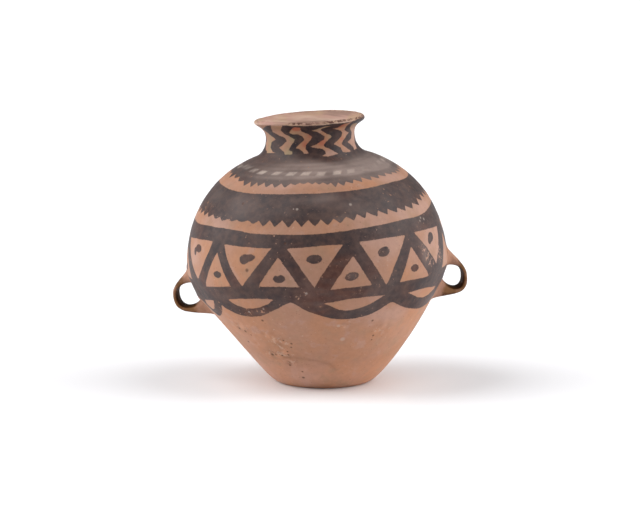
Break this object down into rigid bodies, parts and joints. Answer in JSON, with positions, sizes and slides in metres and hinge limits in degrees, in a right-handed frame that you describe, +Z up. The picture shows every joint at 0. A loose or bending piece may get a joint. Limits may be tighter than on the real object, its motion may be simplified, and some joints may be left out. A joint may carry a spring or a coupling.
{
  "type": "twin-handled jar",
  "caption": "Round-bellied earthenware storage jar with a small flat base, short flared neck and two strap handles low on the belly, painted on its upper half.",
  "frame": {"origin": "centre of the flat underside of the base", "axes": "+Z up, the handles at -X and +X, the pictured face towards -Y"},
  "size_m": [0.3221, 0.2836, 0.29],
  "materials": {
    "bare_clay": "bare fired earthenware, burnished and worn",
    "painted_clay": "earthenware with worn dark brown and red-brown painted bands",
    "lip_clay": "pale pink earthenware, worn along the edge"
  },
  "bodies": {
    "root": {"base_disc": "bare_clay", "lower_body": "bare_clay", "upper_body": "painted_clay", "neck_collar": "painted_clay", "mouth_rim": "lip_clay", "left_handle": "bare_clay", "right_handle": "bare_clay"}
  },
  "joints": []
}
